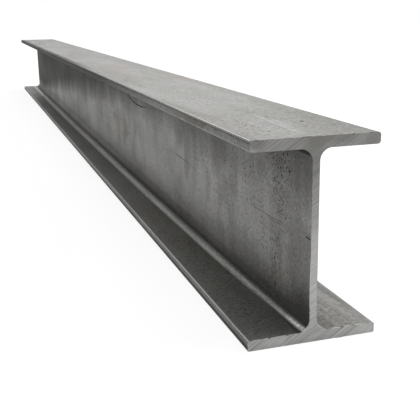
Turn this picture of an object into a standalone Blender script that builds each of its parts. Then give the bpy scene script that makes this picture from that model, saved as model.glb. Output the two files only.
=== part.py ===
"""Aluminium I-beam: one straight length of stock with parallel flanges, filleted roots and square sawn ends."""

import math

import bmesh
import bpy

# Sizes in metres. The beam lies along X on its lower flange with its web upright, and Z is 0 under it.
LENGTH = 2.0
DEPTH = 0.1524  # over both flanges
FLANGE_WIDTH = 0.1016
FLANGE_THICKNESS = 0.0087
WEB_THICKNESS = 0.0058
ROOT_RADIUS = 0.009  # fillet where the web meets a flange
OUTER_TOE_RADIUS = 0.0012  # tip of a flange, on the side away from the web
INNER_TOE_RADIUS = 0.0018  # tip of a flange, on the side that faces the other flange
END_ARRIS = 0.0004  # edge broken round each sawn end

# Steps in each quarter circle of the section
ROOT_STEPS = 12
TOE_STEPS = 6
ARRIS_STEPS = 2

WELD_DISTANCE = 0.00001
SHARP_ANGLE = math.radians(30)
ARRIS_ANGLE = math.radians(60)

MILL_GREY = (0.36, 0.36, 0.35, 1.0)
MILL_ROUGHNESS = 0.5


def clear_scene():
    for obj in list(bpy.data.objects):
        bpy.data.objects.remove(obj, do_unlink=True)


def arc(centre, radius, start, end, steps):
    """Points on a circle from one angle to the other, in degrees, both ends included."""
    points = []
    for step in range(steps + 1):
        angle = math.radians(start + (end - start) * step / steps)
        across = centre[0] + radius * math.cos(angle)
        height = centre[1] + radius * math.sin(angle)
        points.append((across, height))
    return points


def section_outline():
    """The whole I-section round its centre, from one quarter that is mirrored twice."""
    toe = FLANGE_WIDTH / 2
    top = DEPTH / 2
    underside = top - FLANGE_THICKNESS
    web = WEB_THICKNESS / 2
    outer_toe = (toe - OUTER_TOE_RADIUS, top - OUTER_TOE_RADIUS)
    inner_toe = (toe - INNER_TOE_RADIUS, underside + INNER_TOE_RADIUS)
    root = (web + ROOT_RADIUS, underside - ROOT_RADIUS)
    quarter = arc(outer_toe, OUTER_TOE_RADIUS, 90, 0, TOE_STEPS)
    quarter += arc(inner_toe, INNER_TOE_RADIUS, 0, -90, TOE_STEPS)
    quarter += arc(root, ROOT_RADIUS, 90, 180, ROOT_STEPS)
    right = quarter + [(across, -height) for across, height in reversed(quarter)]
    left = [(-across, height) for across, height in reversed(right)]
    return right + left


def extruded_section():
    """The section as a filled 2D curve, pulled out both ways from the middle of the beam."""
    curve = bpy.data.curves.new("i_beam_section", "CURVE")
    curve.dimensions = "2D"
    curve.fill_mode = "BOTH"
    curve.extrude = LENGTH / 2
    outline = section_outline()
    spline = curve.splines.new("POLY")
    spline.points.add(len(outline) - 1)
    for point, (across, height) in zip(spline.points, outline):
        point.co = (across, height, 0, 1)
    spline.use_cyclic_u = True
    section = bpy.data.objects.new("i_beam_section", curve)
    section.rotation_euler = (math.pi / 2, 0, math.pi / 2)
    section.location = (0, 0, DEPTH / 2)
    return section


def lies_at(face, end):
    return all(abs(vert.co.z - end) < WELD_DISTANCE for vert in face.verts)


def closed_mesh(section):
    """The extrusion as one closed mesh, with its caps welded on and each cap a single face."""
    bpy.context.view_layer.update()
    depsgraph = bpy.context.evaluated_depsgraph_get()
    mesh = bpy.data.meshes.new_from_object(section.evaluated_get(depsgraph))
    shape = bmesh.new()
    shape.from_mesh(mesh)
    bmesh.ops.remove_doubles(shape, verts=shape.verts, dist=WELD_DISTANCE)
    for end in (-LENGTH / 2, LENGTH / 2):
        cap = [face for face in shape.faces if lies_at(face, end)]
        bmesh.ops.dissolve_faces(shape, faces=cap)
    shape.to_mesh(mesh)
    shape.free()
    return mesh


def mill_finish():
    material = bpy.data.materials.new("mill_aluminium")
    material.use_nodes = True
    shader = material.node_tree.nodes["Principled BSDF"]
    shader.inputs["Base Color"].default_value = MILL_GREY
    shader.inputs["Metallic"].default_value = 1.0
    shader.inputs["Roughness"].default_value = MILL_ROUGHNESS
    material.diffuse_color = MILL_GREY
    return material


def make_beam(collection):
    section = extruded_section()
    collection.objects.link(section)
    mesh = closed_mesh(section)
    mesh.name = "i_beam"
    mesh.materials.clear()
    mesh.materials.append(mill_finish())
    mesh.shade_smooth()
    mesh.set_sharp_from_angle(angle=SHARP_ANGLE)
    beam = bpy.data.objects.new("i_beam", mesh)
    beam.matrix_world = section.matrix_world.copy()
    collection.objects.link(beam)
    bpy.data.objects.remove(section, do_unlink=True)
    arris = beam.modifiers.new("end_arris", "BEVEL")
    arris.width = END_ARRIS
    arris.segments = ARRIS_STEPS
    arris.limit_method = "ANGLE"
    arris.angle_limit = ARRIS_ANGLE
    return beam


def main():
    clear_scene()
    collection = bpy.data.collections.new("aluminium_i_beam")
    bpy.context.scene.collection.children.link(collection)
    make_beam(collection)


main()
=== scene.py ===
import itertools
import math
import random

import bmesh
import bpy
from mathutils import Matrix, Vector, noise
from mathutils.geometry import delaunay_2d_cdt


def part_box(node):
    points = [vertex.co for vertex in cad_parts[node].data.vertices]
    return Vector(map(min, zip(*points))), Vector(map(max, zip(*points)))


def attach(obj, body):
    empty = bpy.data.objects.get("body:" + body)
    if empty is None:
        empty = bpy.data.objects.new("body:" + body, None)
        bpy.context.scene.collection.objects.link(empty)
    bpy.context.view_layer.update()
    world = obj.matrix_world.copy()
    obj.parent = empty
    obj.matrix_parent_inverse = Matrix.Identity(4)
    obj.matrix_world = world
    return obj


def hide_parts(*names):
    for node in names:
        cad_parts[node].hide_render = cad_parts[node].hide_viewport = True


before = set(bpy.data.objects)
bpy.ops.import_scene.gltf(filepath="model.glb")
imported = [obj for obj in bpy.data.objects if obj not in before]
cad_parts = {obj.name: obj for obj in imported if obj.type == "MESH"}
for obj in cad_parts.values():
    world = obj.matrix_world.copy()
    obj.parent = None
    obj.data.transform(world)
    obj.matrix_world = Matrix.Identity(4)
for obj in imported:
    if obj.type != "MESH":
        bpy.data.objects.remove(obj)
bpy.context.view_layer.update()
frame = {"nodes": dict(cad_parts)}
print("frame loaded:", ", ".join(frame["nodes"]))

mm = 0.001
beamLow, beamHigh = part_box("i_beam")
nearEnd = beamHigh[0]
farEnd = beamLow[0]


def addObject(name, data):
    obj = bpy.data.objects.new(name, data)
    bpy.context.scene.collection.objects.link(obj)
    return obj


# an object from a finished bmesh
def addMesh(name, bm):
    bmesh.ops.recalc_face_normals(bm, faces=bm.faces)
    mesh = bpy.data.meshes.new(name)
    bm.to_mesh(mesh)
    bm.free()
    return addObject(name, mesh)


# the photograph's camera, fitted to the beam's corners
camera = dict(
    lens=63.97,
    sensor=36.0,
    clip=(0.01, 60),
    place=(1.4563, -0.2230, 0.2365),
    azimuth=72.283,
    elevation=15.055,
    roll=-0.861,
)


def makeCamera():
    data = bpy.data.cameras.new("photoCamera")
    data.lens = camera["lens"]
    data.sensor_width = camera["sensor"]
    data.clip_start, data.clip_end = camera["clip"]
    az, el, roll = (math.radians(camera[turn]) for turn in ("azimuth", "elevation", "roll"))
    back = Vector((math.sin(az) * math.cos(el), -math.cos(az) * math.cos(el), math.sin(el)))
    right = Vector((0, 0, 1)).cross(back).normalized()
    up = back.cross(right)
    turnedRight = right * math.cos(roll) + up * math.sin(roll)
    turnedUp = up * math.cos(roll) - right * math.sin(roll)
    spin = Matrix((turnedRight, turnedUp, back)).transposed()
    obj = addObject("photoCamera", data)
    obj.matrix_world = Matrix.Translation(camera["place"]) @ spin.to_4x4()
    bpy.context.scene.camera = obj


makeCamera()
print("camera ready")


# the cross-section, kept a little inside the CAD outline

# each flange tip, from its upper face round to its lower face:
# how far in from the tip and how far down, in mm
tipShapes = dict(
    topLeft=[
        (3.2, 0.12), (1.8, 0.10), (1.10, 0.02), (0.72, 0.0), (0.42, 0.10), (0.18, 0.32),
        (0.05, 0.62), (0.0, 0.95), (0.06, 1.30), (0.22, 1.70), (0.44, 2.05), (0.52, 2.35),
        (0.40, 2.65), (0.20, 2.92), (0.10, 3.30), (0.06, 4.60), (0.06, 6.30), (0.12, 6.90),
        (0.02, 7.20), (0.14, 7.55), (0.55, 8.05), (1.20, 8.42), (2.1, 8.62), (3.2, 8.70),
    ],
    topRight=[
        (3.4, 0.12), (2.3, 0.14), (1.6, 0.28), (1.0, 0.58), (0.5, 1.05), (0.16, 1.70),
        (0.02, 2.40), (0.06, 3.00), (0.12, 4.50), (0.06, 5.90), (0.04, 6.40), (0.16, 7.05),
        (0.50, 7.75), (1.0, 8.24), (1.6, 8.54), (2.3, 8.67), (3.4, 8.70),
    ],
    bottomLeft=[
        (3.0, 0.10), (1.3, 0.08), (0.55, 0.0), (0.22, 0.08), (0.03, 0.30), (0.0, 0.62),
        (0.13, 0.92), (0.34, 1.22), (0.46, 1.58), (0.36, 1.95), (0.16, 2.28), (0.08, 2.65),
        (0.06, 3.20), (0.12, 4.30), (0.14, 5.60), (0.06, 7.10), (0.10, 7.80), (0.34, 8.28),
        (0.95, 8.52), (3.0, 8.58),
    ],
    bottomRight=[
        (3.2, 0.10), (2.1, 0.10), (1.4, 0.22), (0.8, 0.52), (0.34, 1.00), (0.06, 1.70),
        (0.0, 2.30), (0.08, 3.20), (0.12, 5.40), (0.04, 6.60), (0.14, 7.25), (0.48, 7.88),
        (1.05, 8.20), (1.8, 8.33), (3.2, 8.35),
    ],
)

section = dict(
    depth=beamHigh[2] - beamLow[2],
    halfWidth=(beamHigh[1] - beamLow[1]) / 2,
    flange=8.7 * mm,
    halfWeb=2.9 * mm,
    rootRadius=9.0 * mm,
    rootSteps=14,
    support=1.2 * mm,    # flat strip beside each root that keeps the shading level
    tipDepth=1.4 * mm,   # how far in the uneven tips reach
    tipWander=0.16 * mm,
    tipSetback=dict(topLeft=1.3 * mm, topRight=1.1 * mm, bottomLeft=0.1 * mm, bottomRight=0.0),
)


def tipPoints(name, side, upperFace):
    reach = section["halfWidth"] - section["tipSetback"][name]
    points = [(side * (reach - inset * mm), upperFace - drop * mm) for inset, drop in tipShapes[name]]
    return points if side < 0 else points[::-1]


def rootPoints(side, level, start, end):
    radius = section["rootRadius"]
    centre = (side * (section["halfWeb"] + radius), level)
    points = []
    for step in range(section["rootSteps"] + 1):
        angle = math.radians(start + (end - start) * step / section["rootSteps"])
        points.append((centre[0] + radius * math.cos(angle), centre[1] + radius * math.sin(angle)))
    for at in (0, -1):
        y, z = points[at]
        if abs(y - centre[0]) > abs(z - centre[1]):     # the web end of the root
            extra = (y, z + math.copysign(section["support"], section["depth"] / 2 - level))
        else:
            extra = (y + side * section["support"], z)
        points.insert(0 if at == 0 else len(points), extra)
    return points


# the outline runs round the section with the metal on its left, seen from the near end
def sectionOutline():
    top = section["depth"]
    foot = section["flange"]
    low = foot + section["rootRadius"]
    high = top - section["flange"] - section["rootRadius"]
    return (tipPoints("bottomRight", 1, foot) + rootPoints(1, low, 270, 180) + rootPoints(1, high, 180, 90)
            + tipPoints("topRight", 1, top) + tipPoints("topLeft", -1, top) + rootPoints(-1, high, 90, 0)
            + rootPoints(-1, low, 0, -90) + tipPoints("bottomLeft", -1, foot))


def insetOutline(points, distances):
    moved = []
    for index, (y, z) in enumerate(points):
        before = points[index - 1]
        after = points[(index + 1) % len(points)]
        along = Vector((after[0] - before[0], after[1] - before[1])).normalized()
        moved.append((y - along[1] * distances[index], z + along[0] * distances[index]))
    return moved


# the dressed beam: rings along its length and two sawn ends

slots = dict(mill=0, sawn=1, arris=2)    # the beam's material slots

rings = dict(
    arris=0.26 * mm,     # broken edge round the sawn ends
    bands=((0.0, 1.15), (0.28, 0.4), (1.0, 0.12)),    # its inset and distance from the end, in arris widths
    capBand=3.0 * mm,
    fineStep=1.0 * mm,   # outline points round the ends
    pitches=((0.3, 4 * mm), (0.9, 8 * mm), (2.0, 16 * mm)),   # up to this far from the near end
)

saw = dict(
    radius=1.7,          # the blade's sweep
    tilt=math.radians(33.0),
    span=95 * mm,        # how far the marks run either way
    width=(0.25, 0.75),  # ranges of a groove's width, depth, middle, half length and step to the next, in mm
    depth=(0.01, 0.07),
    middle=(-80, 80),
    half=(15, 80),
    step=(0.45, 2.1),
    across=0.42 * mm,    # spacing of the mesh points over a sawn face
    along=1.5 * mm,
    margin=0.38 * mm,
    seed=19,
)
sawCentre = (saw["radius"] * math.sin(saw["tilt"]), section["depth"] / 2 - saw["radius"] * math.cos(saw["tilt"]))

# strong saw marks: (y, z) of both ends in mm, width, depth
strongMarks = [
    (-22, 144, -11, 152, 0.6, 0.20), (-20, 144, -9.5, 152, 0.5, 0.14), (-48, 146, -42, 151, 0.7, 0.20),
    (-47, 144.2, -31, 151.5, 0.7, 0.15), (-43, 144, -34, 148.5, 0.5, 0.12), (-6, 145, 4, 152, 0.6, 0.14),
    (2, 144, 11, 151, 0.5, 0.10), (13, 144, 24, 151, 0.6, 0.11), (33, 144.5, 41, 150.5, 0.5, 0.10),
    (-2.5, 20, 2.5, 23, 0.6, 0.20), (-2.5, 17.5, 2.5, 20.5, 0.5, 0.14), (-2.5, 71, 2.5, 74.3, 0.5, 0.14),
    (-2.5, 62, 2.5, 65, 0.5, 0.12), (-2.5, 101, 2.5, 104, 0.5, 0.14), (-2.5, 119, 2.5, 122, 0.5, 0.12),
    (22, 3, 26, 6.6, 0.8, 0.22), (35, 4, 38, 7, 0.6, 0.20), (-20, 1, -9, 8, 0.6, 0.12),
    (-36, 1, -29, 6, 0.6, 0.12), (5, 1, 14, 7, 0.6, 0.10),
]


# the small burr that the saw left hanging from the lower edge
endBurr = dict(across=22 * mm, reach=2.6 * mm, drop=0.28 * mm)


# across and along the blade's sweep, in metres
def sawPlace(y, z):
    dy, dz = y - sawCentre[0], z - sawCentre[1]
    return math.hypot(dy, dz) - saw["radius"], saw["radius"] * (math.atan2(dz, dy) - math.pi / 2 - saw["tilt"])


def makeSawGrooves(seed, strong):
    draw = random.Random(seed)
    grooves = []
    place = -saw["span"]
    while place < saw["span"]:
        width = draw.uniform(*saw["width"]) * mm
        depth = draw.uniform(*saw["depth"]) * mm * (2.0 if draw.random() < 0.13 else 1.0)
        middle = draw.uniform(*saw["middle"]) * mm
        half = draw.uniform(*saw["half"]) * mm
        grooves.append((place, width, depth, middle, half))
        place += draw.uniform(*saw["step"]) * mm
    for y0, z0, y1, z1, width, depth in strong:
        s0, t0 = sawPlace(y0 * mm, z0 * mm)
        s1, t1 = sawPlace(y1 * mm, z1 * mm)
        grooves.append(((s0 + s1) / 2, width * mm, depth * mm, (t0 + t1) / 2, abs(t1 - t0) / 2 + 1 * mm))
    return sorted(grooves)


def sawDepth(grooves, y, z):
    across, along = sawPlace(y, z)
    total = 0.0
    for place, width, depth, middle, half in grooves:
        gap = abs(across - place)
        if gap < width and abs(along - middle) < half:
            fade = 1 - ((along - middle) / half) ** 4
            total += depth * fade * (1 - gap / width)
    wave = noise.noise(Vector((across * 120, along * 9, 3.1)))
    return total + max(0.0, 0.03 * mm * wave)


# whether a place on a sawn face lies in the metal, a margin in from its outline
def insideSection(y, z, margin):
    top = section["depth"]
    flange = section["flange"]
    radius = section["rootRadius"]
    wide = abs(y)
    setback = section["tipSetback"][("bottom" if z < top / 2 else "top") + ("Left" if y < 0 else "Right")]
    reach = section["halfWidth"] - setback - 0.6 * mm
    if wide > reach - margin or z < 0.4 * mm + margin or z > top - 0.15 * mm - margin:
        return False
    if z < flange - 0.12 * mm - margin or z > top - flange + margin:
        across = reach + 0.6 * mm - wide
        corners = (z + across, abs(z - flange) + across, abs(top - flange - z) + across, top - z + across)
        return min(corners) > 1.7 * mm + margin
    if wide < section["halfWeb"] - margin:
        return True
    centreY = section["halfWeb"] + radius
    if wide > centreY:
        return False
    level = flange + radius
    for centreZ in (level, top - level):
        if abs(z - centreZ) < radius and (z < centreZ) == (centreZ == level):
            return math.hypot(wide - centreY, z - centreZ) > radius + margin
    return False


# mesh points over a sawn face, in rows along the blade's sweep
def capPoints():
    draw = random.Random(saw["seed"])
    points = []
    row = -saw["span"]
    while row < saw["span"]:
        along = -saw["span"] + draw.random() * saw["along"]
        while along < saw["span"]:
            angle = math.pi / 2 + saw["tilt"] + along / saw["radius"]
            reach = saw["radius"] + row
            y = sawCentre[0] + reach * math.cos(angle)
            z = sawCentre[1] + reach * math.sin(angle)
            if insideSection(y, z, saw["margin"]):
                points.append((y, z))
            along += saw["along"] * draw.uniform(0.8, 1.2)
        row += saw["across"]
    return points


# fills the end inside a ring of border vertices
def addCap(bm, border, endX, inward, grooves):
    outline = [(v.co.y, v.co.z) for v in border]
    inner = capPoints()
    flat = []
    shrink = saw["across"] / saw["along"] * 1.4
    for y, z in outline + inner:      # drawn out across the marks, so the triangles follow them
        along = y * math.cos(saw["tilt"]) + z * math.sin(saw["tilt"])
        across = z * math.cos(saw["tilt"]) - y * math.sin(saw["tilt"])
        flat.append(Vector((along * shrink, across)))
    loop = list(range(len(outline)))
    edges = [(i, (i + 1) % len(outline)) for i in loop]
    verts, _, faces, sources, _, _ = delaunay_2d_cdt(flat, edges, [loop], 1, 1e-9)
    made = []
    for index in range(len(verts)):
        source = min(sources[index])
        if source < len(outline):
            made.append(border[source])
        else:
            y, z = inner[source - len(outline)]
            made.append(bm.verts.new((endX + inward * sawDepth(grooves, y, z), y, z)))
    for face in faces:
        corners = [made[i] for i in face]
        if inward > 0:
            corners.reverse()
        bm.faces.new(corners).material_index = slots["sawn"]


# the outline with more points on its long lines, and which of them belong to each line
def fineOutline(outline):
    fine = []
    spans = []
    for index, start in enumerate(outline):
        end = outline[(index + 1) % len(outline)]
        parts = max(1, math.ceil(math.dist(start, end) / rings["fineStep"]))
        spans.append(list(range(len(fine), len(fine) + parts + 1)))
        for part in range(parts):
            share = part / parts
            fine.append((start[0] + (end[0] - start[0]) * share, start[1] + (end[1] - start[1]) * share))
    spans[-1][-1] = 0
    return fine, spans


def ringStations():
    stations = [nearEnd - rings["capBand"]]
    for reach, pitch in rings["pitches"]:
        while nearEnd - stations[-1] < reach and stations[-1] - pitch > farEnd + rings["capBand"]:
            stations.append(stations[-1] - pitch)
    stations[-1] = farEnd + rings["capBand"]
    return stations


# how far each point of an outline is worn in at the flange tips
def tipWear(x, outline):
    wear = []
    for y, z in outline:
        edge = section["halfWidth"] - (1.2 * mm if z > 0.1 else 0.3 * mm) - abs(y)
        side = 7.0 if y > 0 else 0.0
        slow = noise.noise(Vector((x * 22, side, round(z * 60)))) * 0.5 + 0.5
        quick = noise.noise(Vector((x * 160, side + 3, z * 220))) * 0.5 + 0.5
        deep = section["tipWander"] * (0.55 * slow + 0.45 * quick) * (1 - edge / section["tipDepth"])
        wear.append(0.0 if edge > section["tipDepth"] else deep)
    return wear


def addRing(bm, points, x):
    return [bm.verts.new((x, y, z)) for y, z in points]


def joinRings(bm, nearer, farther, slot):
    for index in range(len(nearer)):
        after = (index + 1) % len(nearer)
        bm.faces.new((nearer[index], farther[index], farther[after], nearer[after])).material_index = slot


def buildBeam():
    bm = bmesh.new()
    coarse = sectionOutline()
    fine, spans = fineOutline(coarse)
    body = [addRing(bm, insetOutline(coarse, tipWear(x, coarse)), x) for x in ringStations()]
    for nearer, farther in zip(body, body[1:]):
        joinRings(bm, nearer, farther, slots["mill"])
    for endX, inward, ring in ((nearEnd, -1, body[0]), (farEnd, 1, body[-1])):
        near = inward < 0
        grooves = makeSawGrooves(saw["seed"] + (0 if near else 5), strongMarks if near else [])
        full = insetOutline(fine, tipWear(endX, fine))
        loops = []
        for inset, back in rings["bands"]:
            points = insetOutline(full, [rings["arris"] * inset] * len(fine))
            loops.append(addRing(bm, points, endX + inward * rings["arris"] * back))
        for vert in loops[-1]:
            vert.co.x = endX + inward * (sawDepth(grooves, vert.co.y, vert.co.z) * 0.8)
        for vert in itertools.chain(*loops) if near else ():
            if vert.co.z < 1 * mm:
                gap = (vert.co.y - endBurr["across"]) / endBurr["reach"]
                vert.co.z -= endBurr["drop"] * max(0.0, 1 - gap * gap)
        for outer, inner in zip(loops, loops[1:]):
            joinRings(bm, inner if near else outer, outer if near else inner, slots["arris"])
        for index, span in enumerate(spans):
            after = (index + 1) % len(ring)
            bm.faces.new([loops[0][i] for i in span] + [ring[after], ring[index]])
        addCap(bm, loops[-1], endX, inward, grooves)
    return addMesh("beamStock", bm)


beam = buildBeam()
print("beam mesh:", len(beam.data.polygons), "faces")


# pits, scratches and knocks cut into the surface

# faces that marks are cut into: a point on the face, the outward direction, and the way up the face
faces = dict(
    webLeft=dict(origin=(-section["halfWeb"], "y"), out=(0, -1, 0), up=(0, 0, 1)),
    webRight=dict(origin=(section["halfWeb"], "y"), out=(0, 1, 0), up=(0, 0, 1)),
    top=dict(origin=(section["depth"] - 0.12 * mm, "z"), out=(0, 0, 1), up=(0, 1, 0)),
    foot=dict(origin=(section["flange"] - 0.10 * mm, "z"), out=(0, 0, 1), up=(0, 1, 0)),
    under=dict(origin=(0.25 * mm, "z"), out=(0, 0, -1), up=(0, 1, 0)),
    tipTopLeft=dict(origin=(-section["halfWidth"] + 1.36 * mm, "y"), out=(0, -1, 0), up=(0, 0, 1)),
    tipTopRight=dict(origin=(section["halfWidth"] - 1.22 * mm, "y"), out=(0, 1, 0), up=(0, 0, 1)),
    sawn=dict(origin=(nearEnd, "x"), out=(1, 0, 0), up=(0, 0, 1)),
)


# how far the root stands out from the web at a height
def rootBulge(z):
    radius = section["rootRadius"]
    under = section["depth"] - section["flange"]
    into = min(radius, max(0.0, z - (under - radius), section["flange"] + radius - z))
    return radius - math.sqrt(radius * radius - into * into)


# a place on a face: mm back from the near end, and mm up the web or across the flange
# (on the sawn end, mm across and mm up)
def placeOn(face, back, level):
    x = nearEnd - back * mm
    at, axis = faces[face]["origin"]
    if axis == "x":
        return Vector((at, back * mm, level * mm))
    if face in ("webLeft", "webRight"):
        at += math.copysign(rootBulge(level * mm), at)
    return Vector((x, at, level * mm)) if axis == "y" else Vector((x, level * mm, at))


# groups of pits: face, mm back, level, spread back, spread level, how many, smallest and largest in mm
pitFields = [
    ("webLeft", 50, 130, 10, 9, 110, 0.9, 2.2),
    ("webLeft", 70, 131, 7, 7, 40, 0.8, 2.0),
    ("webLeft", 56, 117, 12, 8, 80, 0.7, 1.6),
    ("webLeft", 60, 100, 8, 12, 100, 0.7, 1.7),
    ("webLeft", 55, 88, 9, 10, 44, 0.65, 1.5),
    ("webLeft", 67, 58, 8, 12, 36, 0.6, 1.4),
    ("webLeft", 67, 40, 6, 14, 60, 0.65, 1.6),
    ("webLeft", 36, 30, 14, 12, 24, 0.7, 1.3),
    ("webLeft", 85, 105, 55, 30, 80, 0.5, 1.1),
    ("webLeft", 140, 90, 60, 35, 36, 0.7, 1.5),
    ("webLeft", 40, 60, 30, 40, 60, 0.6, 1.2),
    ("top", 62, -27, 34, 9, 30, 0.8, 1.9),
    ("top", 90, -22, 40, 14, 34, 0.6, 1.4),
    ("top", 140, 5, 110, 32, 34, 0.5, 1.1),
    ("foot", 60, -32, 45, 14, 80, 0.7, 1.6),
    ("foot", 150, -34, 80, 14, 50, 0.8, 1.8),
    ("foot", 260, -32, 90, 14, 40, 0.9, 2.0),
    ("foot", 22, 17, 16, 5, 22, 0.6, 1.3),
    ("foot", 40, 34, 34, 12, 18, 0.5, 0.9),
    ("sawn", 30, 147, 22, 4, 16, 0.3, 0.7),
    ("tipTopLeft", 90, 147.0, 70, 1.4, 8, 0.5, 1.1),
]

# loose pits over each face: how many, and the level's range in mm
loosePits = dict(
    webLeft=(110, 22, 130), webRight=(150, 22, 130), top=(110, -46, 46), under=(80, -46, 46),
)

# single larger pits: face, mm back, level, length, width, depth in mm
singlePits = [
    ("top", 67, 19.5, 5.5, 2.4, 0.35), ("top", 62, -24, 2.2, 1.6, 0.6), ("top", 52, -22.5, 2.0, 1.3, 0.5),
    ("top", 33, -26, 2.0, 1.3, 0.5), ("top", 80, -28, 1.6, 1.3, 0.5), ("top", 92, -31, 1.5, 1.2, 0.45),
    ("webLeft", 47, 126, 1.6, 2.8, 0.7), ("webLeft", 44, 122, 1.5, 2.4, 0.7), ("webLeft", 60, 119, 1.6, 2.2, 0.7),
    ("webLeft", 65, 45, 1.6, 3.6, 0.6), ("webLeft", 63, 33, 1.4, 3.0, 0.6), ("webLeft", 45, 83, 1.7, 1.7, 0.8),
    ("webLeft", 30, 34, 1.6, 1.8, 0.6), ("webLeft", 17, 30, 1.6, 1.8, 0.6), ("foot", 33, 15.5, 1.6, 1.6, 0.5),
    ("top", 43, 35, 3.4, 1.3, 0.2), ("top", 690, 12, 5, 3, 0.2),
    # knocks along the upper edge of the sawn end, then its lower edge
    ("sawn", -45.5, 152.25, 7.0, 0.5, 0.35), ("sawn", -8, 152.2, 8.0, 0.5, 0.45), ("sawn", 3, 152.25, 5.0, 0.4, 0.3),
    ("sawn", 9.5, 152.1, 9.0, 0.8, 0.6), ("sawn", 28.5, 152.2, 5.2, 0.6, 0.5), ("sawn", 41, 152.25, 4.2, 0.4, 0.3),
    ("sawn", 2.85, 62, 0.6, 1.6, 0.4), ("sawn", 2.85, 40, 0.6, 1.8, 0.4), ("sawn", 2.8, 25, 0.6, 1.4, 0.35),
    ("sawn", 24, 8.5, 2.6, 0.7, 0.4), ("sawn", 33, 8.6, 3.0, 0.6, 0.4), ("sawn", 41, 8.6, 2.0, 0.5, 0.3),
    ("sawn", -34, 8.4, 3.0, 0.6, 0.3), ("sawn", -20, 8.4, 2.4, 0.6, 0.3), ("sawn", 14.2, 9.0, 2.2, 1.2, 0.5),
]

# scratches: face, then (mm back, level) of the points they pass, width and depth in mm;
# first those with dirt in them (the third is the curved scoring under the top flange), then the clean ones
dirtyScratches = [
    ("webLeft", [(130, 75.6), (100, 75.8), (70, 76.6), (42, 77.4)], 0.36, 0.32),
    ("webLeft", [(80, 74.6), (62, 74.6), (44, 75.6)], 0.32, 0.28),
    ("webLeft", [(626, 122), (608, 117.2), (588, 113.4), (558, 111.4), (530, 111.2), (497, 114.2)], 1.8, 1.1),
    ("webLeft", [(9, 78.6), (5, 78.6), (0.3, 78.2)], 1.3, 1.0),
    ("webLeft", [(390, 77.4), (340, 76.6), (280, 75.2)], 0.5, 0.4),
    ("foot", [(170, -27), (167, -24)], 1.0, 0.4),
]
scratches = [
    ("webLeft", [(358, 44), (338, 36), (318, 27)], 0.5, 0.2),
    ("webLeft", [(228, 68.5), (208, 67), (190, 65.6)], 0.6, 0.2),
    ("top", [(113, -1.2), (80, -2), (48, -3), (19, -4)], 0.5, 0.12),
    ("webLeft", [(215, 65), (200, 64), (186, 64.4)], 0.5, 0.2),
    ("webLeft", [(330, 112), (300, 117), (280, 111), (290, 104)], 0.5, 0.2),
    ("webLeft", [(350, 60), (344, 52), (352, 46)], 0.5, 0.2),
    ("webLeft", [(136, 54), (124, 52), (118, 55)], 0.5, 0.25),
    ("tipTopLeft", [(250, 147), (238, 145.6), (230, 147.4), (221, 145.4)], 0.7, 0.3),
    ("webRight", [(900, 60), (840, 62), (700, 61)], 0.6, 0.2),
    ("webRight", [(380, 95), (330, 90), (300, 91)], 0.6, 0.2),
    ("top", [(1220, -20), (1100, -18), (1010, -19)], 0.6, 0.15),
]

# slanting bites along the rolled lip; they grow longer and farther apart away from the near end
notches = dict(pitch=3.9 * mm, spread=0.024, last=0.9, share=0.48, depth=0.28 * mm,
               lean=40.0, upper=0.95 * mm, lower=2.15 * mm)

# how the scattered pits are drawn: least gap as a share of their sizes, leaning to the small ones, spread and reach
# of a field as shares of its own, and for the loose pits their mm back and size
pits = dict(gap=0.72, lean=2.2, spread=0.55, reachBack=1.4, reachLevel=1.3, looseBack=(6, 1994), looseSize=(0.4, 1.3))

seeds = dict(pits=41, dirtyScratches=8, scratches=7, lipNotches=23)


def makeBall():
    bm = bmesh.new()
    bmesh.ops.create_icosphere(bm, subdivisions=2, radius=1.0)
    points = [vert.co.copy() for vert in bm.verts]
    corners = [[vert.index for vert in face.verts] for face in bm.faces]
    bm.free()
    return points, corners


ball = makeBall()


# an uneven hollow: a ball squeezed flat and sunk into the face
def addPit(bm, draw, face, back, level, length, width, depth):
    out = Vector(faces[face]["out"])
    up = Vector(faces[face]["up"])
    side = out.cross(up)
    spin = draw.uniform(-0.5, 0.5)
    one = (side * math.cos(spin) + up * math.sin(spin)) * (length / 2 * mm)
    two = (up * math.cos(spin) - side * math.sin(spin)) * (width / 2 * mm)
    place = placeOn(face, back, level) + out * (depth * 0.25 * mm)
    shift = Vector((draw.uniform(0, 50), draw.uniform(0, 50), 0))
    made = []
    for point in ball[0]:
        local = point * (1 + 0.38 * noise.noise(point * 1.3 + shift))
        made.append(bm.verts.new(place + one * local.x + two * local.y + out * (local.z * depth * 1.25 * mm)))
    for corners in ball[1]:
        bm.faces.new([made[index] for index in corners])


# a closed three-sided tube through rows of three places
def addTube(bm, rows):
    loops = [[bm.verts.new(place) for place in row] for row in rows]
    for one, two in zip(loops, loops[1:]):
        for corner in range(3):
            after = (corner + 1) % 3
            bm.faces.new((one[corner], one[after], two[after], two[corner]))
    bm.faces.new(loops[0][::-1])
    bm.faces.new(loops[-1])


# tapered cuts, each along its route of points
def addGrooves(bm, draw, grooves):
    for face, route, width, depth in grooves:
        out = Vector(faces[face]["out"])
        spots = []
        for (b0, l0), (b1, l1) in zip(route, route[1:]):
            steps = max(2, int(math.dist((b0, l0), (b1, l1)) / 6))
            for step in range(steps):
                share = step / steps
                spots.append((b0 + (b1 - b0) * share, l0 + (l1 - l0) * share))
        spots.append(route[-1])
        last = len(spots) - 1
        rows = []
        for index, (back, level) in enumerate(spots):
            near = placeOn(face, *spots[max(0, index - 1)])
            far = placeOn(face, *spots[min(last, index + 1)])
            side = out.cross((far - near).normalized())
            taper = math.sin(math.pi * (index + 0.35) / (last + 0.7)) ** 0.5
            taper *= draw.uniform(0.75, 1.1)
            place = placeOn(face, back, level + draw.uniform(-0.12, 0.12))
            half = width / 2 * mm * taper
            deep = depth * mm * taper
            rows.append((place + side * half * 1.6 + out * deep * 0.6,
                         place - side * half * 1.6 + out * deep * 0.6, place - out * deep))
        addTube(bm, rows)


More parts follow.
